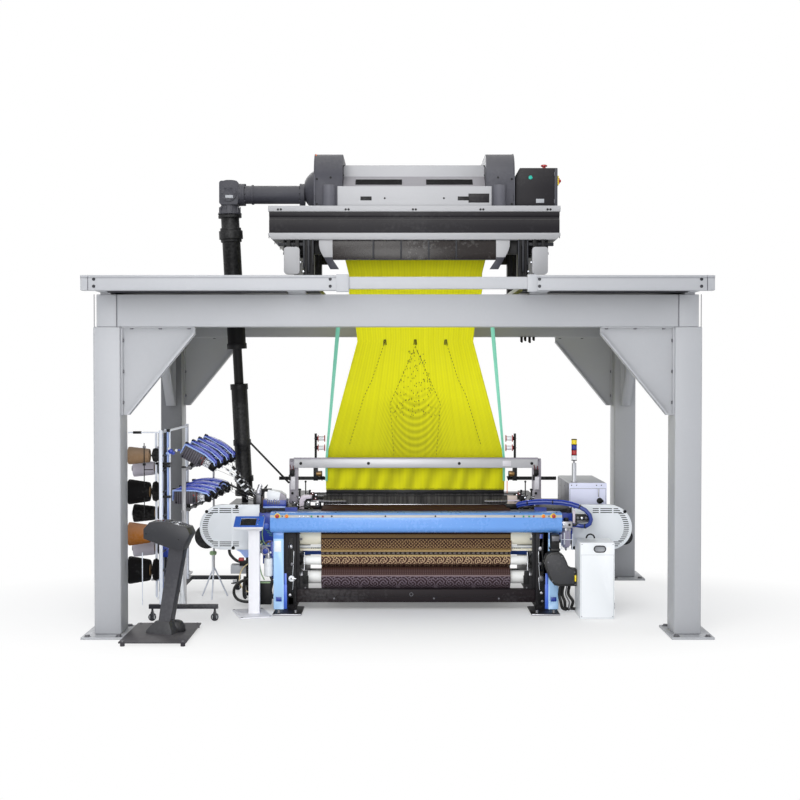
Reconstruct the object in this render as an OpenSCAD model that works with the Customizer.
/* [Gantry] */
// Distance between the outer faces of the left and right columns
gantry_w = 5294; // [5000:10:5800]
// Distance from the front faces of the front columns to those of the rear columns
gantry_d = 3190; // [3000:10:3500]
// Height of the underside of the beams above the floor
column_top = 2704; // [2640:10:2800]
// Width of a column seen from the front
column_w = 235; // [200:5:300]
// Depth of a column seen from the side
column_d = 300; // [240:5:360]
// Height of the main beams
beam_h = 280; // [240:5:300]
// Width of the main beams
beam_w = 180; // [140:5:200]
// Length of a column foot plate from side to side
plate_w = 369; // [340:1:400]
// Depth of a column foot plate
plate_d = 570; // [500:5:640]
// Thickness of a column foot plate
plate_t = 20; // [15:1:30]
// Diameter of the anchor bolt holes
anchor_hole_d = 28; // [20:1:34]
// Distance of the anchor holes from the edges of a foot plate
anchor_inset = 48; // [40:1:60]
// Reach of a gusset along the beam
gusset_w = 640; // [500:10:700]
// Reach of a gusset down the column
gusset_h = 770; // [600:10:850]
// Thickness of the gusset sheet and its flanges
gusset_t = 12; // [8:1:16]
// Width of the flanges along a gusset's edges
gusset_flange = 100; // [60:5:120]

/* [Platform] */
// Height of the platform rails
rail_h = 130; // [100:5:150]
// Width of the platform rails
rail_w = 90; // [60:5:110]
// How far the front rail stands out before the columns
rail_overhang = 290; // [200:5:300]
// Thickness of the packers between the beams and the platform
packer_t = 16; // [10:1:25]
// Thickness of the grating decks
deck_t = 35; // [25:1:50]
// Left edge of the opening for the harness
opening_left = -670; // [-720:5:-640]
// Right edge of the opening for the harness
opening_right = 1065; // [1035:5:1100]
// Width of the two beams that carry the head
carrier_w = 160; // [130:5:180]
// Distance of each carrying beam from the loom's centre
carrier_reach = 1047; // [1040:1:1060]

/* [Jacquard head] */
// Centre of the head from side to side
head_x = 160; // [140:5:180]
// Width of the head's base
head_w = 2850; // [2780:10:2900]
// Depth of the head's base
head_d = 1400; // [1350:10:1450]
// Depth of the head's front face behind the front columns
head_front = 1400; // [1380:5:1420]
// Height of the head's underside
head_z = 3600; // [3590:1:3640]
// Height of the pale lower strip
lower_strip_h = 67; // [50:1:80]
// Height of the dark fascia
fascia_h = 206; // [180:1:230]
// Height of the pale upper strip
upper_strip_h = 58; // [45:1:70]
// Width of the upper housing between its end covers
housing_w = 1410; // [1380:10:1430]
// Height of the housing's upright front panel
panel_h = 209; // [190:1:230]
// Height of the sloped vent panel
slope_h = 120; // [100:1:135]
// Height of the crown above the sloped panel
crown_h = 115; // [100:1:125]
// Width of an end cover
end_cover_w = 280; // [250:5:300]
// Height of an end cover
end_cover_h = 544; // [530:1:560]
// Radius of an end cover's top corners
end_cover_r = 230; // [180:5:250]
// Width of the electric cabinet on the head
cabinet_w = 418; // [380:2:425]
// Height of the electric cabinet on the head
cabinet_h = 389; // [350:1:420]
// Width of a head leg
leg_w = 105; // [90:1:120]
// Height of the pale box beside each leg
leg_box_h = 265; // [240:5:280]
// Number of blades in each vent
vent_blades = 6; // [4:1:7]

/* [Drive] */
// Radius of the dome where the drive enters the head
hub_r = 215; // [190:5:225]
// Radius of the cross tube to the head
cross_tube_r = 100; // [80:1:105]
// Height of the cross tube's axis
cross_tube_z = 4110; // [4090:1:4130]
// Depth of the drive line's axis at the top
drive_y = 1960; // [1900:5:2000]
// Distance from the head's centre to the upright drive shaft
drive_reach = 1870; // [1840:5:1900]
// Radius of the upright guard tube
guard_r = 92; // [80:1:100]
// Radius of the inner drive shaft
inner_shaft_r = 48; // [35:1:55]

/* [Harness] */
// Half width of the harness under the head
harness_top_half = 745; // [700:5:760]
// Half width at the neck
harness_neck_half = 585; // [560:5:610]
// Half width above the comber board
harness_low_half = 910; // [880:5:914]
// Depth of the harness under the head
harness_top_d = 520; // [450:5:560]
// Depth of the harness at the heddles
harness_low_d = 220; // [180:5:240]
// Depth of the harness's mid plane behind the front columns
harness_y = 2100; // [2080:5:2120]
// Height at which the harness meets the heddles
heddle_top = 1104; // [1090:1:1120]

/* [Loom] */
// Centre of the loom from side to side
loom_x = 175; // [165:5:185]
// Half distance between the inner faces of the side frames
frame_half = 1160; // [1150:5:1180]
// Thickness of a side frame
frame_t = 120; // [100:5:125]
// Depth of the front faces of the front legs
loom_front = 1226; // [1216:2:1236]
// Depth of the loom from front to back
loom_d = 2050; // [2000:10:2100]
// Height of the side frames
frame_top = 985; // [975:1:990]
// Width of a front leg
front_leg_w = 98; // [80:1:110]
// Underside of the breast beam cover
cover_z = 762; // [752:1:772]
// Height of the breast beam cover
cover_h = 195; // [170:1:197]
// Half length of the breast beam cover
cover_half = 1403; // [1380:1:1430]
// Width of the woven cloth
cloth_w = 1852; // [1800:2:1900]
// Thickness of the cloth layer
cloth_t = 3; // [2:0.5:4]
// Radius of the take-up roller
takeup_r = 85; // [75:1:88]
// Radius of the press roller
press_r = 45; // [38:1:46]
// Radius of the cloth wound on the roll
wound_r = 118; // [100:1:120]
// Radius of the cloth roll's core
core_r = 64; // [50:1:70]
// Radius of the rollers' journals
journal_r = 20; // [15:1:25]
// Running clearance of a journal in its bore
journal_gap = 0.05; // [0.02:0.01:0.1]
// Width of a rapier side cover
side_cover_w = 590; // [560:5:600]
// Height of a rapier side cover
side_cover_h = 442; // [420:2:460]
// Radius of the warp wound on its beam
warp_r = 320; // [250:5:330]
// Radius of the warp beam's flanges
flange_r = 390; // [360:5:400]

/* [Stands] */
// Width of the waste box
waste_w = 320; // [300:5:335]
// Height of the waste box
waste_h = 716; // [680:2:740]
// Height of the terminal post
terminal_h = 800; // [760:5:830]
// Height of the signal tower's pole
tower_h = 220; // [200:5:260]
// Radius of a signal lamp
lamp_r = 27; // [22:1:32]
// Length of a weft feeder's ribbed body
feeder_body_l = 215; // [190:5:220]
// Width of a weft feeder's ribbed body
feeder_body_w = 108; // [90:1:110]
// Height of a weft feeder's ribbed body
feeder_body_h = 135; // [110:1:138]
// Radius of a weft feeder's drum
drum_r = 46; // [38:1:50]
// Length of a weft feeder's drum
drum_l = 110; // [90:2:125]
// Number of cooling ribs on a weft feeder
feeder_ribs = 8; // [5:1:10]
// Nose-down angle of the upper weft feeders
feeder_tilt = 28; // [22:1:30]
// Height of the creel's post
creel_h = 1770; // [1700:5:1850]
// Length of a yarn package
package_l = 190; // [170:5:200]
// Radius of a creel caster's wheel
caster_r = 36; // [30:1:40]

/* [Hidden] */

round_fn = 48;
front_y = 0;
rear_y = gantry_d;
plate_shift = 22;
console_front = -420;
plate_back = rear_y + column_d / 2 + plate_d / 2;
depth_centre = (console_front + plate_back) / 2;

beam_top = column_top + beam_h;
rail_z = beam_top + packer_t;
rail_top = rail_z + rail_h;
column_x = gantry_w / 2 - column_w / 2;
rear_face = rear_y + column_d;

fascia_z = head_z + lower_strip_h;
upper_z = fascia_z + fascia_h;
base_top = upper_z + upper_strip_h;
head_back = head_front + head_d;

inner_left = loom_x - frame_half;
inner_right = loom_x + frame_half;
outer_half = frame_half + frame_t;
loom_back = loom_front + loom_d;
foot_t = 15;
takeup_y = loom_front + 224;
takeup_z = 700;
press_y = loom_front + 199;
press_z = 465;
roll_y = loom_front + 264;
roll_z = 290;
web_gap = 5 + cloth_t / 2;
breast_y = loom_front + 174;
breast_z = 940;
breast_r = 22;
seat_gap = 0.3;
web_top = breast_z + breast_r + seat_gap + cloth_t / 2;
backrest_y = loom_back - 90;
backrest_z = frame_top - 60;
backrest_r = 55;
warp_y = loom_back - 330;
warp_z = 530;

// Moves a piece drawn in depths behind the front columns into the centred frame.
module in_frame() translate([0, -depth_centre, 0]) children();

// A block between two corners.
module block(a, b) translate(a) cube([b[0] - a[0], b[1] - a[1], b[2] - a[2]]);

// An outline in depth and height, drawn out from side to side.
module along_x(x0, x1) translate([x0, 0, 0]) rotate([90, 0, 90]) linear_extrude(x1 - x0) children();

// An outline in width and height, drawn out from front to back.
module along_y(y0, y1) translate([0, y1, 0]) rotate([90, 0, 0]) linear_extrude(y1 - y0) children();

// A round bar from side to side.
module rod_x(x0, x1, y, z, r) translate([x0, y, z]) rotate([0, 90, 0])
  cylinder(h = x1 - x0, r = r, $fn = round_fn);

// A round bar from point to point.
module rod(p, q, r) {
  v = q - p;
  translate(p) rotate([0, acos(v[2] / norm(v)), atan2(v[1], v[0])])
    cylinder(h = norm(v), r = r, $fn = round_fn);
}

// A rectangle with round corners, its lower left corner at the origin.
module soft_rect(w, h, r) {
  translate([r, 0]) square([w - 2 * r, h]);
  translate([0, r]) square([w, h - 2 * r]);
  for (x = [r, w - r], z = [r, h - r]) translate([x, z]) circle(r, $fn = round_fn);
}

// Points on an arc, for the cloth's path round a roller.
function arc(c, r, a0, a1, n) =
  [for (i = [0 : n]) let (a = a0 + (a1 - a0) * i / n) [c[0] + r * cos(a), c[1] + r * sin(a)]];

// Direction of a path at one of its points.
function heading(p, i) =
  let (a = p[max(i - 1, 0)], b = p[min(i + 1, len(p) - 1)]) (b - a) / norm(b - a);

// A path given its thickness to both sides.
function thick(p, t) = concat(
  [for (i = [0 : len(p) - 1]) let (h = heading(p, i)) p[i] + [-h[1], h[0]] * t / 2],
  [for (i = [len(p) - 1 : -1 : 0]) let (h = heading(p, i)) p[i] - [-h[1], h[0]] * t / 2]
);

// Repeats a piece at the four columns, mirrored so that its inside faces the machine.
module at_columns() {
  for (side = [-1, 1], y = [front_y, rear_y]) translate([side * column_x, y, 0])
    mirror([side < 0 ? 1 : 0, 0, 0]) children();
}

module gantry_base_plates() {
  color("silver") in_frame() at_columns()
    translate([plate_shift - plate_w / 2, column_d / 2 - plate_d / 2, 0]) difference() {
      cube([plate_w, plate_d, plate_t]);
      for (x = [anchor_inset, plate_w - anchor_inset], y = [anchor_inset, plate_d - anchor_inset])
        translate([x, y, -1]) cylinder(h = plate_t + 2, d = anchor_hole_d, $fn = round_fn);
    }
}

module gantry_columns() {
  color("lightgray") in_frame() at_columns()
    translate([-column_w / 2, 0, plate_t]) cube([column_w, column_d, column_top - plate_t]);
}

module gantry_side_beams() {
  color("lightgray") in_frame() for (side = [-1, 1])
    block([side * (gantry_w / 2 - 31 - beam_w / 2) - beam_w / 2, front_y, column_top],
          [side * (gantry_w / 2 - 31 - beam_w / 2) + beam_w / 2, rear_face, beam_top]);
}

module gantry_cross_beams() {
  half = gantry_w / 2 - 31 - beam_w;
  color("lightgray") in_frame() for (y = [front_y, rear_face - beam_w])
    block([-half, y, column_top], [half, y + beam_w, beam_top]);
}

// One gusset: its corner at the origin, the beam along +X and the column down -Z.
module gusset() {
  slope = atan2(gusset_h, gusset_w);
  along_y(-gusset_t / 2, gusset_t / 2)
    polygon([[0, 0], [gusset_w, 0], [gusset_w, -60], [60, -gusset_h], [0, -gusset_h]]);
  block([0, -gusset_flange / 2, -gusset_t], [gusset_w, gusset_flange / 2, 0]);
  block([0, -gusset_flange / 2, -gusset_h], [gusset_t, gusset_flange / 2, 0]);
  edge = norm([gusset_w - 60, gusset_h - 60]);
  translate([60, 0, -gusset_h]) rotate([0, -atan2(gusset_h - 60, gusset_w - 60), 0])
    translate([0, -gusset_flange / 2, 0]) cube([edge, gusset_flange, gusset_t]);
}

module gantry_gussets() {
  inner_x = gantry_w / 2 - column_w;
  side_x = gantry_w / 2 - 31 - beam_w / 2;
  color("lightgray") in_frame() {
    for (side = [-1, 1], y = [front_y + beam_w / 2, rear_face - beam_w / 2])
      translate([side * inner_x, y, column_top]) mirror([side > 0 ? 1 : 0, 0, 0]) gusset();
    for (side = [-1, 1]) {
      translate([side * side_x, front_y + column_d, column_top]) rotate([0, 0, 90]) gusset();
      translate([side * side_x, rear_y, column_top]) rotate([0, 0, -90]) gusset();
    }
  }
}

rail_half = gantry_w / 2 + 38;
rail_front = front_y - rail_overhang;
rail_back = rear_face + 100;

// A cross rail: full section over the decks, a slimmer link between them.
module platform_rails_cross() {
  slim = 14;
  link = [opening_left + 220, opening_right + 45];
  color("gainsboro") in_frame() for (y = [rail_front, rail_back - rail_w]) {
    block([-rail_half, y, rail_z], [link[0], y + rail_w, rail_top]);
    block([link[0] - 1, y + slim, rail_z + slim], [link[1] + 1, y + rail_w - slim, rail_top - slim]);
    block([link[1], y, rail_z], [rail_half, y + rail_w, rail_top]);
  }
}

// A rail from front to back between the cross rails, with a packer on each main beam.
module side_rail(x0, x1) {
  block([x0, rail_front + rail_w, rail_z], [x1, rail_back - rail_w, rail_top]);
  for (y = [front_y, rear_face - beam_w])
    block([x0, y + 20, beam_top], [x1, y + beam_w - 20, rail_z]);
}

module platform_rails_side() {
  color("gainsboro") in_frame() {
    side_rail(-gantry_w / 2 + 60, -gantry_w / 2 + 60 + rail_w);
    side_rail(gantry_w / 2 - 60 - rail_w, gantry_w / 2 - 60);
    for (side = [-1, 1]) side_rail(carrier_x(side) - carrier_w / 2, carrier_x(side) + carrier_w / 2);
  }
}

// Centre of the left or right beam that carries the head.
function carrier_x(side) = loom_x + side * carrier_reach;

// A strip of deck between the cross rails.
module deck(x0, x1) block([x0, rail_front + rail_w, rail_z], [x1, rail_back - rail_w, rail_z + deck_t]);

module platform_decks() {
  edge = gantry_w / 2 - 60 - rail_w;
  half = carrier_w / 2;
  shaft_at = shaft_top + shaft_run * (shaft_top[2] - rail_z) / -shaft_run[2];
  color("dimgray") in_frame() {
    difference() {
      deck(-edge, carrier_x(-1) - half);
      translate([shaft_at[0], shaft_at[1], rail_z - 1]) cylinder(h = deck_t + 2, r = guard_r + 35, $fn = round_fn);
    }
    deck(carrier_x(-1) + half, opening_left);
    deck(opening_right, carrier_x(1) - half);
    deck(carrier_x(1) + half, edge);
  }
}

module jacquard_frames() {
  color("gainsboro") in_frame() {
    along_y(head_front, head_back) polygon([
      [head_x - head_w / 2 + 40, head_z], [head_x + head_w / 2 - 40, head_z],
      [head_x + head_w / 2, head_z + 40], [head_x + head_w / 2, fascia_z],
      [head_x - head_w / 2, fascia_z], [head_x - head_w / 2, head_z + 40]]);
    block([head_x - head_w / 2, head_front, upper_z], [head_x + head_w / 2, head_back, base_top]);
  }
}

module jacquard_fascia() {
  color("dimgray") in_frame() difference() {
    block([head_x - head_w / 2 + 8, head_front + 8, fascia_z], [head_x + head_w / 2 - 8, head_back - 8, upper_z]);
    block([head_x - head_w, head_front, upper_z - 75], [head_x + head_w, head_front + 18, upper_z - 45]);
  }
}

housing_front = head_front + 150;
housing_back = head_back - 150;
slope_back = 180;

// The housing's outline from the side.
module housing_outline() polygon([
  [housing_front, base_top], [housing_back, base_top],
  [housing_back, base_top + panel_h], [housing_back - slope_back, base_top + panel_h + slope_h],
  [housing_back - slope_back, base_top + panel_h + slope_h + crown_h],
  [housing_front + slope_back, base_top + panel_h + slope_h + crown_h],
  [housing_front + slope_back, base_top + panel_h + slope_h],
  [housing_front, base_top + panel_h]
]);

// Places a piece on the sloped panel: +X along the panel, +Y up its slope, +Z out of it.
module on_slope(x) translate([x, housing_front, base_top + panel_h])
  rotate([atan2(slope_h, slope_back), 0, 0]) children();

vent_w = 460;
vent_h = 130;
vent_depth = 30;

module jacquard_housing() {
  color("gainsboro") in_frame() difference() {
    along_x(head_x - housing_w / 2, head_x + housing_w / 2) housing_outline();
    for (side = [-1, 1]) on_slope(head_x + side * 350)
      translate([-vent_w / 2, 40, -vent_depth]) cube([vent_w, vent_h, vent_depth + 5]);
  }
}

module jacquard_vents() {
  pitch = vent_h / vent_blades;
  color("black") in_frame() for (side = [-1, 1]) on_slope(head_x + side * 350)
    translate([-vent_w / 2, 40, -vent_depth]) {
      cube([vent_w, vent_h, 6]);
      for (i = [0 : vent_blades - 1]) translate([0, i * pitch, 0]) cube([vent_w, 8, vent_depth]);
    }
}

// An end cover's outline from the side, with round top corners.
module end_cover_outline() {
  d = head_d - 160;
  translate([head_front + 80, base_top]) {
    square([d, end_cover_h - end_cover_r]);
    translate([end_cover_r, 0]) square([d - 2 * end_cover_r, end_cover_h]);
    for (y = [end_cover_r, d - end_cover_r]) translate([y, end_cover_h - end_cover_r])
      circle(end_cover_r, $fn = round_fn);
  }
}

pilaster_r = 62;

module jacquard_end_covers() {
  color("dimgray") in_frame() for (side = [-1, 1]) {
    near = head_x + side * housing_w / 2;
    far = near + side * end_cover_w;
    along_x(min(near, far), max(near, far)) end_cover_outline();
    translate([near + side * 130, head_front + 80, base_top]) cylinder(h = panel_h, r = pilaster_r, $fn = round_fn);
    along_x(min(far - side * 12, far), max(far - side * 12, far)) difference() {
      offset_cover(6);
      end_cover_outline();
    }
  }
}

// The end cover's outline a little larger, for its rim.
module offset_cover(t) {
  d = head_d - 160;
  r = end_cover_r + t;
  translate([head_front + 80 - t, base_top]) {
    square([d + 2 * t, end_cover_h + t - r]);
    translate([r, 0]) square([d + 2 * t - 2 * r, end_cover_h + t]);
    for (y = [r, d + 2 * t - r]) translate([y, end_cover_h + t - r]) circle(r, $fn = round_fn);
  }
}

cabinet_x = head_x + housing_w / 2 + end_cover_w + 10;

module jacquard_cabinet() {
  color("dimgray") in_frame() along_y(head_front + 150, head_front + 750) polygon([
    [cabinet_x, base_top], [cabinet_x + cabinet_w, base_top],
    [cabinet_x + cabinet_w, base_top + cabinet_h], [cabinet_x + 45, base_top + cabinet_h],
    [cabinet_x, base_top + cabinet_h - 110]
  ]);
}

// Repeats a piece at the head's four legs.
module at_legs() {
  for (side = [-1, 1], y = [head_front + 20, head_back - 20 - 140])
    translate([carrier_x(side), y, 0]) mirror([side > 0 ? 1 : 0, 0, 0]) children();
}

module jacquard_legs() {
  color("dimgray") in_frame() at_legs() {
    difference() {
      block([-leg_w / 2, 0, rail_top], [leg_w / 2, 140, head_z]);
      block([-14, -1, rail_top + 40], [14, 12, head_z - 60]);
    }
    block([-leg_w / 2 - 30, 10, rail_top], [leg_w / 2 + 30, 130, rail_top + 14]);
    block([-leg_w / 2 - 200, 70, head_z - 135], [leg_w / 2 + 90, 110, head_z]);
  }
}

module jacquard_leg_boxes() {
  color("lightgray") in_frame() at_legs()
    {
      along_y(-50, 20) translate([-leg_w / 2 - 185, head_z - 338]) soft_rect(152, leg_box_h, 30);
      for (x = [160, 75]) block([-leg_w / 2 - x, -30, head_z - 348 + leg_box_h], [-leg_w / 2 - x + 35, 15, head_z]);
    }
}

// Curved pale brackets at both ends of the harness screen, each with a dark foot that leans inwards.
module harness_shroud() {
  color("lightgray") in_frame() for (side = [-1, 1])
    translate([head_x, 0, 0]) mirror([side < 0 ? 1 : 0, 0, 0]) {
      along_y(head_front + 20, head_front + 60) polygon([
        [798, head_z], [933, head_z], [931, head_z - 60], [921, head_z - 100], [905, head_z - 135],
        [885, head_z - 170], [798, head_z - 170]]);
      along_y(head_front + 26, head_front + 54) polygon([
        [798, head_z - 170], [885, head_z - 170], [822, head_z - 285], [735, head_z - 285], [798, head_z - 190]]);
    }
}

module harness_screen() {
  color([0.25, 0.2, 0.15]) in_frame()
    block([head_x - 798 + seat_gap, head_front + 30, head_z - 190], [head_x + 798 - seat_gap, head_front + 40, head_z]);
}

gear_x = head_x - drive_reach;

// A ring of bolt heads on a flange that faces +Z.
module bolt_ring(r, n) for (i = [0 : n - 1]) rotate([0, 0, i * 360 / n]) translate([r, 0, 0])
  cylinder(h = 10, r = 9, $fn = 6);

module drive_gearbox() {
  color([0.3, 0.3, 0.33]) in_frame() {
    along_y(drive_y - 105, drive_y + 105) translate([gear_x - 95, cross_tube_z - 110]) soft_rect(190, 240, 25);
    translate([gear_x, drive_y - 105, cross_tube_z]) rotate([90, 0, 0]) {
      cylinder(h = 15, r = 80, $fn = round_fn);
      translate([0, 0, 15]) bolt_ring(62, 6);
    }
    rod_x(gear_x + 95, gear_x + 130, drive_y, cross_tube_z, cross_tube_r + 12);
    translate([gear_x, drive_y, cross_tube_z - 185]) cylinder(h = 80, r1 = 105, r2 = 88, $fn = round_fn);
    translate([gear_x, drive_y, cross_tube_z - 200]) cylinder(h = 15, r = 118, $fn = round_fn);
    translate([gear_x, drive_y, cross_tube_z + 130]) cylinder(h = 14, r = 60, $fn = round_fn);
  }
}

module drive_cross_tube() {
  hub_x = head_x - housing_w / 2 - end_cover_w;
  color([0.3, 0.3, 0.33]) in_frame() {
    rod_x(gear_x + 130, hub_x - 120, drive_y, cross_tube_z, cross_tube_r - 8);
    rod_x(gear_x + 130, gear_x + 155, drive_y, cross_tube_z, cross_tube_r + 12);
    rod_x(gear_x + 225, gear_x + 245, drive_y, cross_tube_z, cross_tube_r);
    rod_x(hub_x - 165, hub_x - 120, drive_y, cross_tube_z, cross_tube_r + 12);
    for (x = [gear_x + 155, hub_x - 175]) translate([x, drive_y, cross_tube_z]) rotate([0, 90, 0])
      bolt_ring(cross_tube_r + 2, 8);
    translate([hub_x, drive_y, base_top + hub_r + 8]) intersection() {
      rotate([0, -90, 0]) cylinder(h = 120, r = hub_r, $fn = round_fn);
      translate([85, 0, 0]) sphere(r = hub_r + 11, $fn = round_fn);
    }
  }
}

shaft_top = [gear_x, drive_y, cross_tube_z - 200 - 118 * sin(3.5) - seat_gap];
shaft_foot = [gear_x + 136, drive_y + 90, 1045];
shaft_run = shaft_foot - shaft_top;

// A point part of the way down the upright drive line.
function on_shaft(share) = shaft_top + shaft_run * share;

module drive_shaft_upper() {
  color([0.15, 0.15, 0.16]) in_frame() {
    rod(shaft_top, on_shaft(0.01), 118);
    rod(on_shaft(0.005), on_shaft(0.475), guard_r);
    rod(on_shaft(0.055), on_shaft(0.085), guard_r + 28);
    rod(on_shaft(0.045), on_shaft(0.055), guard_r + 14);
    rod(on_shaft(0.085), on_shaft(0.095), guard_r + 14);
    rod(on_shaft(0.455), on_shaft(0.475), guard_r + 8);
    rod(on_shaft(0.47), on_shaft(0.60), inner_shaft_r);
  }
}

module drive_shaft_lower() {
  color([0.15, 0.15, 0.16]) in_frame() {
    rod(on_shaft(0.6001), on_shaft(0.62), guard_r - 2);
    rod(on_shaft(0.615), on_shaft(0.99), guard_r - 10);
    rod(on_shaft(0.80), on_shaft(0.82), guard_r - 1);
    rod(on_shaft(0.93), on_shaft(0.95), guard_r + 4);
    rod(on_shaft(0.98), on_shaft(1), guard_r + 8);
    rod([shaft_foot[0], shaft_foot[1], frame_top - 16], on_shaft(0.99), 34);
    rod(on_shaft(0.81) + [80, 0, 0], [loom_x - outer_half - 1, harness_y - 225, bar_z - 154], 10);
  }
}

// The harness seen from the front, as a list of half widths and heights.
harness_side = [
  [harness_top_half, head_z], [harness_top_half - 73, head_z - 290],
  [harness_top_half - 67, head_z - 445], [harness_neck_half + 15, 2764],
  [harness_neck_half, 2620], [harness_low_half, 1423], [harness_low_half, heddle_top]
];

module harness() {
  n = len(harness_side);
  color("yellow") in_frame() intersection() {
    along_y(harness_y - harness_top_d, harness_y + harness_top_d) polygon(concat(
      [for (p = harness_side) [loom_x + p[0], p[1]]],
      [for (i = [n - 1 : -1 : 0]) [loom_x - harness_side[i][0], harness_side[i][1]]]));
    along_x(loom_x - 2000, loom_x + 2000) polygon([
      [harness_y - harness_top_d / 2, head_z], [harness_y - harness_low_d / 2, 1423],
      [harness_y - harness_low_d / 2, heddle_top], [harness_y + harness_low_d / 2, heddle_top],
      [harness_y + harness_low_d / 2, 1423], [harness_y + harness_top_d / 2, head_z]]);
  }
}

module heddles() {
  color("gray") in_frame()
    block([loom_x - harness_low_half, harness_y - harness_low_d / 2, 240],
          [loom_x + harness_low_half, harness_y + harness_low_d / 2, heddle_top]);
}

strap_w = 45;

module harness_straps() {
  y = harness_y - harness_low_d / 2 - 60;
  top = rail_z + deck_t;
  color("mediumaquamarine") in_frame() {
    for (side = [-1, 1]) translate([loom_x, 0, 0]) mirror([side < 0 ? 1 : 0, 0, 0])
      along_y(y - 3, y) polygon([
        [738, top], [738 + strap_w, top], [893 + strap_w / 2, 1420], [893 + strap_w / 2, 1200],
        [893, 1200], [893, 1420]]);
    block([opening_left, y, top - 30], [loom_x - 738, y + 12, top]);
    block([loom_x + 738, y, top - 30], [opening_right, y + 12, top]);
  }
}

bar_y = harness_y - 250;
bar_z = 1339;

module harness_bar() {
  color("silver") in_frame() {
    block([loom_x - 1230, bar_y, bar_z], [loom_x + 1240, bar_y + 50, bar_z + 98]);
    rod_x(loom_x - 1390, loom_x - 920, bar_y + 118 + seat_gap, 1225, 18);
    rod_x(loom_x + 960, loom_x + 1440, bar_y + 118 + seat_gap, 1225, 18);
  }
}

// A selvedge post on the steel bar: a rod with two spools, and a clamp with a bobbin below the bar.
module selvedge_post(side) translate([loom_x + side * 1010, bar_y + 25, bar_z + 98]) {
  cylinder(h = 250, r = 12, $fn = round_fn);
  for (z = [105, 200]) translate([0, 0, z]) rotate([0, -side * 90, 0]) {
    cylinder(h = 95, r = 20, $fn = round_fn);
    for (h = [22, 88]) translate([0, 0, h]) cylinder(h = 7, r = 34, $fn = round_fn);
  }
  translate([-22, -20, -98 - 130]) cube([44, 45, 130]);
  translate([side * -65, 0, -98 - 60]) rotate([0, side * 90, 0]) cylinder(h = 60, r = 28, $fn = round_fn);
}

module bar_brackets() {
  color("lightgray") in_frame() for (side = [-1, 1]) {
    translate([loom_x + side * (outer_half - 45), 0, 0]) {
      along_x(-45, 45) polygon([
        [bar_y + 50, frame_top + 60], [bar_y + 50, bar_z + 60], [bar_y + 75, bar_z + 90],
        [bar_y + 100, bar_z + 90], [bar_y + 100, frame_top], [bar_y + 20, frame_top], [bar_y + 20, frame_top + 40]]);
    }
    selvedge_post(side);
  }
}

// A side frame's outline from the side.
module frame_outline() polygon([
  [loom_front + 36, foot_t], [loom_back - 60, foot_t], [loom_back, 80], [loom_back, frame_top - 160],
  [loom_back - 60, frame_top], [loom_front + 190, frame_top], [loom_front + 130, cover_z + 150],
  [loom_front + 130, cover_z], [loom_front + 36, cover_z]
]);

module loom_side_frames() {
  color([0.25, 0.27, 0.3]) in_frame() for (side = [-1, 1]) difference() {
    x0 = side < 0 ? loom_x - outer_half : loom_x + frame_half;
    along_x(x0, x0 + frame_t) frame_outline();
    for (p = [[takeup_y, takeup_z], [press_y, press_z], [roll_y, roll_z]])
      rod_x(side < 0 ? inner_left - 60 : inner_right - 1, side < 0 ? inner_left + 1 : inner_right + 60,
            p[0], p[1], journal_r + journal_gap);
  }
}

module loom_cross_beams() {
  color([0.2, 0.2, 0.22]) in_frame() {
    block([inner_left, loom_front + 64, 72], [inner_right, loom_front + 150, 198]);
    block([inner_left, loom_front + 470, 480], [inner_right, loom_front + 560, 560]);
    block([inner_left, loom_back - 200, 60], [inner_right, loom_back - 100, 120]);
  }
}

module front_legs() {
  color([0.66, 0.82, 0.98]) in_frame() for (side = [-1, 1]) translate([loom_x, 0, 0])
    mirror([side < 0 ? 1 : 0, 0, 0]) {
      difference() {
        block([outer_half, loom_front, foot_t], [outer_half + front_leg_w, loom_front + 180, cover_z]);
        block([outer_half + 18, loom_front - 1, 90], [outer_half + front_leg_w - 18, loom_front + 8, 135]);
      }
      for (y = [loom_front - 246, loom_back - 380]) block([outer_half - 187, y, 0], [outer_half + 85, y + 426, foot_t]);
      for (y = [loom_front - 180, loom_back - 20], x = [outer_half - 130, outer_half + 30])
        translate([x, y, foot_t]) cylinder(h = 26, r = 15, $fn = 6);
    }
}

module breast_beam_cover() {
  color([0.45, 0.68, 0.95]) in_frame() along_x(loom_x - cover_half, loom_x + cover_half)
    translate([loom_front - 76, cover_z]) difference() {
      union() {
        translate([60, 0]) square([130, cover_h]);
        translate([0, 60]) square([190, cover_h - 120]);
        for (z = [60, cover_h - 60]) translate([60, z]) circle(60, $fn = round_fn);
      }
      translate([-1, cover_h - 45]) square([7, 26]);
    }
}

rapier_z = 563;

// A side cover seen from the front: straight towards the loom, half round outside.
module side_cover_outline(inset = 0) {
  r = side_cover_h / 2;
  translate([0, inset]) square([side_cover_w - r, side_cover_h - 2 * inset]);
  translate([side_cover_w - r, r]) circle(r - inset, $fn = round_fn);
}

cover_x = outer_half + 255;
cover_y = loom_front + 224;
slot_pitch = 19;

// A dash-shaped slot from x0 to x1, cut into the cover's face.
module dash(x0, x1, z) translate([x0, cover_y - 1, z - 4]) cube([x1 - x0, 31, 8]);

// The slots of one cover: three rows of dashes at the top and the bottom, and one dash after another round its end.
module cover_slots() {
  r = side_cover_h / 2;
  end = side_cover_w - r;
  for (row = [0 : 2], half = [-1, 1]) {
    z = r + half * (r - 38 - row * slot_pitch);
    dash(end - 165, end - 105, z);
    dash(end - 90, end + 25, z);
    dash(end + 40, end + 85 + row * 18, z);
  }
  for (i = [-7 : 7]) {
    z = i * slot_pitch;
    x = end + sqrt((r - 28) * (r - 28) - z * z);
    dash(x - 52, x, r + z);
  }
}

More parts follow.
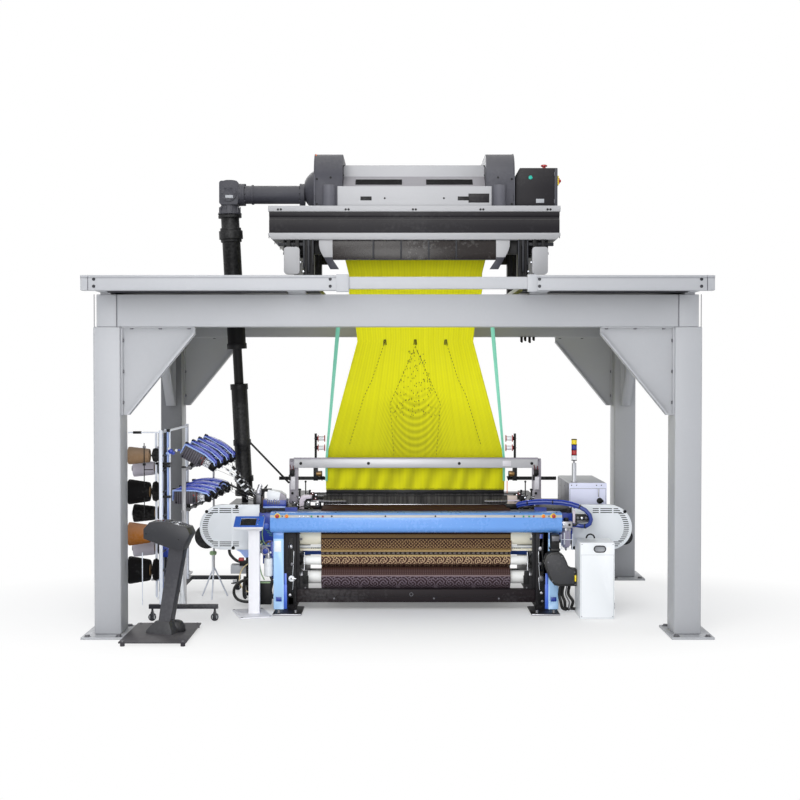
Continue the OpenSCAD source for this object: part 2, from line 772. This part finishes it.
module side_covers() {
  color("white") in_frame() for (side = [-1, 1]) translate([loom_x, 0, 0])
    mirror([side < 0 ? 1 : 0, 0, 0]) translate([cover_x, 0, rapier_z]) difference() {
      along_y(cover_y, cover_y + 60) side_cover_outline();
      cover_slots();
    }
}

module rapier_housings() {
  color([0.2, 0.22, 0.26]) in_frame() for (side = [-1, 1]) translate([loom_x, 0, 0])
    mirror([side < 0 ? 1 : 0, 0, 0]) {
      translate([cover_x, 0, rapier_z]) along_y(cover_y + 60, cover_y + 230) side_cover_outline(42);
      block([outer_half, cover_y + 60, rapier_z + 60], [outer_half + 620, loom_front + 1300, frame_top - 22]);
      block([outer_half, cover_y - 40, rapier_z + 100], [cover_x, cover_y + 60, frame_top - 60]);
      translate([cover_x + side_cover_w - 60, cover_y + 60, rapier_z + 120]) rotate([-90, 0, 0])
        cylinder(h = 220, r = side < 0 ? 118 : 80, $fn = round_fn);
    }
}

temple_x = cloth_w / 2 + 40;

module sley() {
  color([0.35, 0.35, 0.38]) in_frame() {
    along_x(inner_left, inner_right) polygon([
      [harness_y - 230, 850], [harness_y - 150, 850], [harness_y - 150, 940],
      [harness_y - 175, 952], [harness_y - 205, 952], [harness_y - 230, 930]]);
    block([loom_x - 935, harness_y - 168, 940], [loom_x + 935, harness_y - 152, 1052]);
    for (side = [-1, 1]) translate([loom_x, 0, 0]) mirror([side < 0 ? 1 : 0, 0, 0]) {
      rod_x(700, temple_x + 12, harness_y - 260, 1000, 14);
      block([temple_x - 12, harness_y - 272, 850], [temple_x + 12, harness_y - 225, 1012]);
    }
  }
}

// A roller between the side frames, with a journal at each end.
module roller(y, z, r, half) {
  rod_x(loom_x - half, loom_x + half, y, z, r);
  rod_x(inner_left - 55, inner_right + 55, y, z, journal_r);
}

module takeup_roller() {
  color([0.95, 0.92, 0.85]) in_frame() roller(takeup_y, takeup_z, takeup_r, frame_half - 6);
}

module press_roller() {
  color("white") in_frame() roller(press_y, press_z, press_r, frame_half - 60);
}

module cloth_roll() {
  color([0.35, 0.28, 0.25]) in_frame() {
    roller(roll_y, roll_z, core_r, frame_half - 52);
    rod_x(loom_x - cloth_w / 2, loom_x + cloth_w / 2, roll_y, roll_z, wound_r);
    for (side = [-1, 1]) translate([loom_x + side * (frame_half - 35), 0, 0])
      rod_x(-18, 18, roll_y, roll_z, core_r + 18);
  }
}

// The cloth's path from the fell over the breast beam, the take-up and the press roller to the roll.
web_path = concat(
  [[harness_y - 235, web_top], [breast_y + 10, web_top]],
  arc([breast_y, breast_z], breast_r + seat_gap + cloth_t / 2, 90, 180, 5),
  arc([takeup_y, takeup_z], takeup_r + web_gap, 176, 184, 2),
  arc([press_y, press_z], press_r + web_gap, 180, 262, 6),
  arc([roll_y, roll_z], wound_r + web_gap, 98, 40, 6)
);

module cloth_web() {
  color([0.45, 0.35, 0.25]) in_frame() along_x(loom_x - cloth_w / 2, loom_x + cloth_w / 2)
    polygon(thick(web_path, cloth_t));
}

module guide_bars() {
  color("gainsboro") in_frame() {
    rod_x(inner_left, inner_right, breast_y, breast_z, breast_r);
    rod_x(inner_left, inner_right, takeup_y - 5, 595, 12);
    block([inner_left, takeup_y - 20, 555], [inner_right, takeup_y + 15, 577]);
    rod_x(inner_left, inner_right, backrest_y, backrest_z, backrest_r);
  }
}

module warp_beam() {
  color([0.5, 0.5, 0.5]) in_frame() {
    rod_x(inner_left, inner_right, warp_y, warp_z, 60);
    rod_x(loom_x - 960, loom_x + 960, warp_y, warp_z, warp_r);
    for (side = [-1, 1]) translate([loom_x + side * 975, 0, 0]) rod_x(-15, 15, warp_y, warp_z, flange_r);
  }
}

warp_path = concat(
  [[harness_y + harness_low_d / 2 + 3, 955]],
  arc([backrest_y, backrest_z], backrest_r + seat_gap + cloth_t / 2, 88, -6, 8),
  arc([warp_y, warp_z], warp_r + 1 + cloth_t / 2, 3, -8, 8)
);

module warp_sheet() {
  color("ivory") in_frame() along_x(loom_x - 925, loom_x + 925) polygon(thick(warp_path, cloth_t));
}

box_x = loom_x + outer_half + 245;

module control_cabinet() {
  color("silver") in_frame()
    along_y(loom_front + 374, loom_front + 1300) polygon([
      [box_x, frame_top - 22], [box_x + 375, frame_top - 22], [box_x + 375, 1200], [box_x + 366, 1209],
      [box_x + 9, 1209], [box_x, 1200]]);
}

module signal_tower() {
  color("gold") in_frame() translate([box_x + 60, loom_front + 450, 1209]) {
    cylinder(h = tower_h, r = 10, $fn = round_fn);
    for (i = [0 : 3]) translate([0, 0, tower_h + i * 52]) cylinder(h = 50, r = lamp_r, $fn = round_fn);
    translate([0, 0, tower_h]) cylinder(h = 212, r = lamp_r - 3, $fn = round_fn);
    cylinder(h = 12, r = lamp_r + 6, $fn = round_fn);
  }
}

waste_x = loom_x + outer_half + 250;

module waste_box() {
  color("white") in_frame() translate([waste_x, loom_front - 416, 0]) difference() {
    union() {
      block([0, 0, 0], [waste_w, 370, waste_h]);
      translate([waste_w / 2 - 20, 330, waste_h]) rotate([90, 0, 0]) linear_extrude(16) difference() {
        circle(46, $fn = round_fn);
        circle(32, $fn = round_fn);
        translate([-50, -100]) square([100, 100]);
      }
    }
    translate([waste_w / 2 - 30, -1, waste_h - 88]) rotate([-90, 0, 0]) translate([0, -56, 0])
      linear_extrude(31) soft_rect(104, 56, 27);
  }
}

// The suction pipe: out of the leg, down, round a bend and across to the waste box.
module suction_elbow() {
  r = 70;
  bend = 84;
  x = loom_x + outer_half + 40;
  y = loom_front - 126;
  top = 524;
  low = 349;
  color([0.12, 0.12, 0.13]) in_frame() {
    translate([x, y, top]) rotate([-90, 0, 0]) cylinder(h = 126 - seat_gap, r = r - 6, $fn = round_fn);
    translate([x, y, top]) sphere(r = r + 2, $fn = round_fn);
    translate([x, y, low + bend]) cylinder(h = top - low - bend, r = r, $fn = round_fn);
    translate([x + bend, y, low + bend]) rotate([90, 0, 0]) rotate([0, 0, 180])
      rotate_extrude(angle = 90, $fn = 64) translate([bend, 0]) circle(r, $fn = round_fn);
    translate([x + bend, y, low]) rotate([0, 90, 0]) cylinder(h = waste_x - x - bend - seat_gap, r = r, $fn = round_fn);
    translate([waste_x - 40, y, low]) rotate([0, 90, 0]) cylinder(h = 28, r = r + 8, $fn = round_fn);
  }
}

// The air filter beside the right leg: its bracket, head and bowl, and the block that the hose bends round.
module air_filter() {
  x = loom_x + outer_half + front_leg_w + 79;
  y = loom_front + 74;
  color("silver") in_frame() {
    block([x - 78.7, y - 30, 690], [x - 40, y + 30, 730]);
    block([x - 52, y - 50, 800], [x + 56, y + 50, 862]);
    translate([x, y, 625]) cylinder(h = 176, r = 46, $fn = round_fn);
    translate([x, y, 607]) cylinder(h = 20, r = 34, $fn = round_fn);
    translate([x, y, 770]) cylinder(h = 20, r = 52, $fn = round_fn);
    block([x + 92, y, 850], [x + 232, cover_y - seat_gap, 932]);
  }
}

// One ring of points round a path's point, for a hose.
function ring(p, i, r, sides) =
  let (d = (p[min(i + 1, len(p) - 1)] - p[max(i - 1, 0)]),
       u = cross(d, [0, 1, 0]) / norm(cross(d, [0, 1, 0])), v = cross(u, d) / norm(d))
  [for (k = [0 : sides - 1]) p[i] + r * (u * cos(360 * k / sides) + v * sin(360 * k / sides))];

// A hose along a path: rings joined by quads, with flat ends.
module hose(p, r, sides = 12) {
  n = len(p);
  points = [for (i = [0 : n - 1]) each ring(p, i, r, sides)];
  walls = [for (i = [0 : n - 2], k = [0 : sides - 1])
    let (a = i * sides + k, b = i * sides + (k + 1) % sides) [a, b, b + sides, a + sides]];
  polyhedron(points, concat(walls, [[for (k = [sides - 1 : -1 : 0]) k]],
    [[for (k = [0 : sides - 1]) (n - 1) * sides + k]]), convexity = 6);
}

// Route of the blue hose, from the reed's side over the cover's end and back under it.
loop_route = [
  [1166, 1420, 1005], [1200, 1405, 1018], [1260, 1390, 1030], [1330, 1370, 1040], [1416, 1350, 1046],
  [1500, 1330, 1046], [1590, 1310, 1042], [1680, 1290, 1028], [1755, 1272, 1006], [1815, 1256, 972],
  [1855, 1246, 928], [1868, 1242, 882], [1856, 1246, 842], [1822, 1262, 818], [1780, 1288, 814],
  [1735, 1300, 822], [1688.4, 1300, 822]
];

module cable_loop() {
  color([0.05, 0.2, 0.6]) in_frame() hose(loop_route, 20);
}

gear_left = loom_x - outer_half;

// Weft gear on the left housing: blue base, white box, gripper blocks, filter bottle and its bracket.
module weft_gear() {
  color([0.2, 0.3, 0.6]) in_frame() {
    z = frame_top - 22;
    block([gear_left - 230, loom_front + 330, z], [gear_left - 5, loom_front + 560, z + 95]);
    block([gear_left - 215, loom_front + 345, z + 95], [gear_left - 75, loom_front + 480, z + 190]);
    for (i = [0 : 3]) block([gear_left - 330, loom_front + 340 + i * 60, z], [gear_left - 240, loom_front + 375 + i * 60, z + 120 + 15 * i]);
    rod_x(gear_left - 330, gear_left - 235, loom_front + 440, z + 60, 22);
    block([gear_left - 130, loom_front + 60, 300], [gear_left - front_leg_w - 2, loom_front + 220, rapier_z + 100]);
    translate([gear_left - 150, loom_front + 40, 330]) cylinder(h = 170, r = 42, $fn = round_fn);
    translate([gear_left - 150, loom_front + 40, 500]) cylinder(h = 60, r = 30, $fn = round_fn);
  }
}

arm_r = 16;
clamp_gap = 3.7;
tilted_clamp_gap = 7.6;
feeder_step = [45, 120, 20];
arm_low = [-2073, 1530, 957];
arm_high = [-2054, 1530, 1369];
post_y = 1425;

// Place of a feeder on its arm.
function feeder_at(arm, i) = arm + feeder_step * i;

// A post of the feeder stand on its foot.
module stand_post(x, y, top) {
  block([x - 20, y, 20], [x + 20, y + 25, top]);
  block([x - 190, y - 20, 0], [x + 190, y + 45, 20]);
}

module feeder_stand() {
  color("silver") in_frame() {
    stand_post(-2100, post_y, arm_high[2] + 8);
    rear = feeder_at(arm_high, 3.6);
    rod([rear[0] + 8, rear[1], 300], [rear[0] + 8, rear[1], rear[2] + 20], 10);
    for (a = [30, 150, 270]) rod([rear[0] + 8, rear[1], 320], [rear[0] + 8 + 150 * cos(a), rear[1] + 150 * sin(a), 8], 8);
    low_end = feeder_at(arm_low, 3.6);
    rod(low_end, [rear[0] + 8, rear[1], low_end[2]], 9);
    for (arm = [arm_low, arm_high]) rod(feeder_at(arm, -0.85), feeder_at(arm, 3.62), arm_r);
  }
}

// A weft feeder turned about its arm: clamp, ribbed body, arched blue cover, drum, eyelet ring and tail.
module feeder(tilt) rotate([0, tilt, 0]) {
  w = feeder_body_w;
  h = feeder_body_h;
  z0 = 52;
  pitch = feeder_body_l / feeder_ribs;
  gap = tilt == 0 ? clamp_gap : tilted_clamp_gap;
  translate([0, 0, arm_r + gap]) cylinder(h = z0 - arm_r, r = 20, $fn = round_fn);
  translate([-130, 0, z0]) {
    translate([0, -w / 2 + 7, 0]) cube([feeder_body_l, w - 14, h]);
    for (i = [0 : feeder_ribs - 1]) translate([i * pitch, -w / 2, 0]) cube([pitch * 0.45, w, h]);
    translate([-12, -w / 2, h * 0.15]) cube([12, w, h * 0.8]);
  }
  translate([feeder_body_l - 130, 0, z0 + h / 2]) rotate([0, 90, 0]) {
    cylinder(h = drum_l, r = drum_r, $fn = round_fn);
    for (i = [0 : 5]) rotate([0, 0, i * 60]) translate([drum_r, 0, 0]) cylinder(h = drum_l, r = 7, $fn = 12);
    translate([0, 0, drum_l]) cylinder(h = 26, r = drum_r + 8, $fn = round_fn);
    translate([0, 0, drum_l + 26]) cylinder(h = 14, r1 = drum_r + 8, r2 = 20, $fn = round_fn);
  }
  translate([0, w / 2, 0]) rotate([90, 0, 0]) linear_extrude(w) polygon([
    [-146, z0 + h], [-146, z0 + h * 0.3], [-138, z0 + h * 0.3], [-134, z0 + h],
    [70, z0 + h], [190, z0 + h - 28], [215, z0 + h - 52], [228, z0 + h - 46],
    [205, z0 + h - 8], [90, z0 + h + 26], [-60, z0 + h + 26], [-130, z0 + h + 12]]);
}

module weft_feeders() {
  color("royalblue") in_frame() for (i = [0 : 3]) {
    translate(feeder_at(arm_low, i)) feeder(0);
    translate(feeder_at(arm_high, i)) feeder(feeder_tilt);
  }
}

creel_front = 710;
creel_back = 2420;
creel_left = -2310;
creel_right = -1670;
creel_bar_z = 2 * caster_r + 42;
creel_post_x = -2197;

// Yarn packages: depth, height, radius.
packages = [
  [860, 1528, 84], [1100, 1391, 82], [860, 1188, 120], [1100, 962, 88],
  [860, 793, 112], [1100, 628, 84], [860, 453, 132]
];

// A caster under a creel bar: wheel, fork and stem.
module caster() rotate([0, 0, 90]) {
  rod_x(-13, 13, 0, caster_r, caster_r);
  for (x = [-21, 15]) translate([x, -12, caster_r - 12]) cube([6, 24, caster_r + 26]);
  translate([-21, -12, 2 * caster_r + 8]) cube([42, 24, 6]);
  rod_x(-21, 21, 0, caster_r, 7);
  translate([0, 0, 2 * caster_r + 12]) cylinder(h = creel_bar_z - 2 * caster_r - 10, r = 10, $fn = round_fn);
}

module creel_frame() {
  color([0.15, 0.15, 0.16]) in_frame() {
    for (y = [creel_front, creel_back]) {
      block([creel_left, y, creel_bar_z], [creel_right, y + 40, creel_bar_z + 40]);
      for (x = [creel_left + 30, creel_right - 30]) translate([x, y + 20, 0]) caster();
    }
    block([creel_post_x - 20, creel_front + 40, creel_bar_z], [creel_post_x + 20, creel_back, creel_bar_z + 40]);
    for (y = [creel_front + 20, 1000, creel_back - 200]) rod([creel_post_x, y, creel_bar_z + 20], [creel_post_x, y, creel_h], 17);
    rod([creel_post_x, creel_front + 20, creel_h - 20], [creel_post_x, creel_back - 200, creel_h - 20], 12);
    for (p = packages) {
      rod_x(creel_post_x - 125, creel_post_x + 10, p[0], p[1], 8);
      rod([creel_post_x, creel_front + 20, p[1]], [creel_post_x, 1110, p[1]], 9);
    }
  }
}

module yarn_packages() {
  color("tan") in_frame() for (p = packages)
    translate([creel_post_x - 125 - seat_gap, p[0], p[1]]) rotate([0, -90, 0]) {
      cylinder(h = package_l, r1 = p[2] * 0.72, r2 = p[2], $fn = round_fn);
      translate([0, 0, package_l]) cylinder(h = 12, r1 = p[2], r2 = p[2] * 0.7, $fn = round_fn);
    }
}

module terminal_post() {
  color("white") in_frame() translate([-1392, 1060, 0]) {
    rotate([0, 0, 17]) block([-150, -230, 0], [150, 230, 12]);
    block([-30, -30, 12], [75, 30, terminal_h]);
    block([-50, -30, terminal_h], [95, -2, terminal_h + 60]);
    block([-50, -25, terminal_h], [95, 45, terminal_h + 42]);
    translate([-24, 0, terminal_h + 62]) rotate([25, 0, 0]) difference() {
      block([-140, -98, 0], [140, 98, 26]);
      block([-80, -66, 23], [68, 62, 27]);
    }
    block([-14, 30, 120], [50, 48, terminal_h - 60]);
  }
}

console_left = -gantry_w / 2 + 297;
console_right = console_left + 570;
console_at = [(console_left + console_right) / 2, 20];

// A flat slab of the given size, centred on x and y.
module slab(w, d, t) translate([-w / 2, -d / 2, 0]) cube([w, d, t]);

// The stand's head: a thick wedge, seen from the front, with the operator's panel sunk into its sloping top.
module console_head() rotate([0, 0, -8]) difference() {
  along_y(-75, 105) polygon([
    [-135, 863], [-135, 945], [-82, 1005], [70, 1015], [255, 962], [282, 905], [246, 843], [212, 765], [88, 785]]);
  translate([-62, -50, 1006]) rotate([0, -3.5, 0]) cube([110, 130, 30]);
  translate([70, -50, 1018]) rotate([0, 16, 0]) translate([10, 0, -10]) cube([150, 130, 30]);
}

module console() {
  color([0.3, 0.3, 0.33]) in_frame() {
    block([console_left, console_front, 28], [console_right, 430, 40]);
    for (x = [console_left + 30, console_right - 30], y = [console_front + 30, 400]) translate([x, y, 0]) cylinder(h = 28, r = 20, $fn = round_fn);
    translate([console_at[0], console_at[1], 40]) {
      translate([32, 0, 0]) rotate([0, 0, -20]) hull() {
        slab(250, 220, 24);
        translate([6, 0, 92]) slab(130, 120, 10);
      }
      hull() {
        translate([44, 0, 92]) rotate([0, 0, -14]) slab(108, 104, 1);
        translate([150, 8, 720]) rotate([0, 0, -8]) slab(122, 118, 60);
      }
    }
    translate([console_at[0], console_at[1], 0]) console_head();
  }
}

gantry_base_plates();
gantry_columns();
gantry_cross_beams();
gantry_side_beams();
gantry_gussets();
platform_rails_cross();
platform_rails_side();
platform_decks();
jacquard_frames();
jacquard_fascia();
jacquard_housing();
jacquard_vents();
jacquard_end_covers();
jacquard_cabinet();
jacquard_legs();
jacquard_leg_boxes();
harness_shroud();
harness_screen();
drive_gearbox();
drive_cross_tube();
drive_shaft_upper();
drive_shaft_lower();
harness();
heddles();
harness_straps();
harness_bar();
bar_brackets();
loom_side_frames();
loom_cross_beams();
breast_beam_cover();
front_legs();
rapier_housings();
side_covers();
sley();
takeup_roller();
press_roller();
cloth_roll();
cloth_web();
guide_bars();
warp_beam();
warp_sheet();
control_cabinet();
signal_tower();
waste_box();
suction_elbow();
air_filter();
cable_loop();
weft_gear();
feeder_stand();
weft_feeders();
creel_frame();
yarn_packages();
terminal_post();
console();
